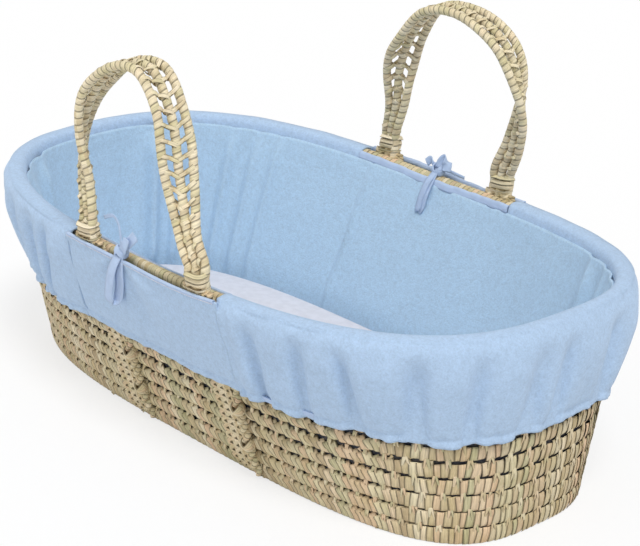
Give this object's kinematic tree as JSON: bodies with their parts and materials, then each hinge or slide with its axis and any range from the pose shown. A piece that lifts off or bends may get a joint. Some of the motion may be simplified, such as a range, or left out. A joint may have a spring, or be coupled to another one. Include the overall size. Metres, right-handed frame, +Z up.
{
  "type": "moses basket",
  "caption": "Oval plaited palm-leaf carrying basket for a baby, with two folding strap handles, a gathered fleece liner tied round the handles and a lift-out mattress.",
  "frame": {"origin": "middle of the underside, on the floor", "axes": "+X runs to the foot end, +Y across the basket to the far handle, +Z up"},
  "size_m": [0.8679, 0.5072, 0.4759],
  "materials": {
    "palm_leaf": "dried palm leaf, plaited, matt",
    "palm_strap": "palm-leaf cords, wrapped and laced, matt",
    "fleece": "short-pile polyester fleece",
    "binding_tape": "plain woven cotton tape",
    "cotton": "plain white cotton cover",
    "foam": "open-cell foam"
  },
  "bodies": {
    "basket": {"wall_row_01": "palm_leaf", "wall_row_02": "palm_leaf", "wall_row_03": "palm_leaf", "wall_row_04": "palm_leaf", "wall_row_05": "palm_leaf", "wall_row_06": "palm_leaf", "wall_row_07": "palm_leaf", "wall_row_08": "palm_leaf", "wall_row_09": "palm_leaf", "wall_row_10": "palm_leaf", "wall_row_11": "palm_leaf", "rim_coil": "palm_leaf", "base_panel": "palm_leaf", "sling_head": "palm_leaf", "sling_foot": "palm_leaf", "lining": "fleece", "lining_floor": "fleece", "valance_foot": "fleece", "valance_head": "fleece", "slot_panel_far": "fleece", "slot_panel_near": "fleece", "slot_binding_far": "binding_tape", "lining_binding_far": "binding_tape", "slot_binding_near": "binding_tape", "lining_binding_near": "binding_tape", "hem_elastic": "binding_tape", "near_tie_knot": "binding_tape", "near_tie_loop": "binding_tape", "near_tie_tail": "binding_tape", "far_tie_knot": "binding_tape", "far_tie_loop": "binding_tape", "far_tie_tail": "binding_tape"},
    "near_handle": {"near_handle_cord_a": "palm_strap", "near_handle_cord_b": "palm_strap", "near_handle_cord_c": "palm_strap", "near_handle_lace_a": "palm_strap", "near_handle_lace_b": "palm_strap", "near_handle_wrap_head": "palm_strap", "near_handle_wrap_foot": "palm_strap"},
    "far_handle": {"far_handle_cord_a": "palm_strap", "far_handle_cord_b": "palm_strap", "far_handle_cord_c": "palm_strap", "far_handle_lace_a": "palm_strap", "far_handle_lace_b": "palm_strap", "far_handle_wrap_head": "palm_strap", "far_handle_wrap_foot": "palm_strap"},
    "mattress": {"mattress_cover_top": "cotton", "mattress_cover_base": "cotton", "mattress_foam": "foam"}
  },
  "joints": [
    {"name": "near_handle_fold", "type": "hinge", "parent": "basket", "child": "near_handle", "pos_m": [0, -0.2412, 0.256], "axis": [1, 0, 0], "range_deg": [-80, 115]},
    {"name": "far_handle_fold", "type": "hinge", "parent": "basket", "child": "far_handle", "pos_m": [0, 0.2412, 0.256], "axis": [-1, 0, 0], "range_deg": [-80, 115]},
    {"name": "mattress_lift", "type": "slide", "parent": "basket", "child": "mattress", "axis": [0, 0, 1], "range_m": [0, 0.5]}
  ]
}
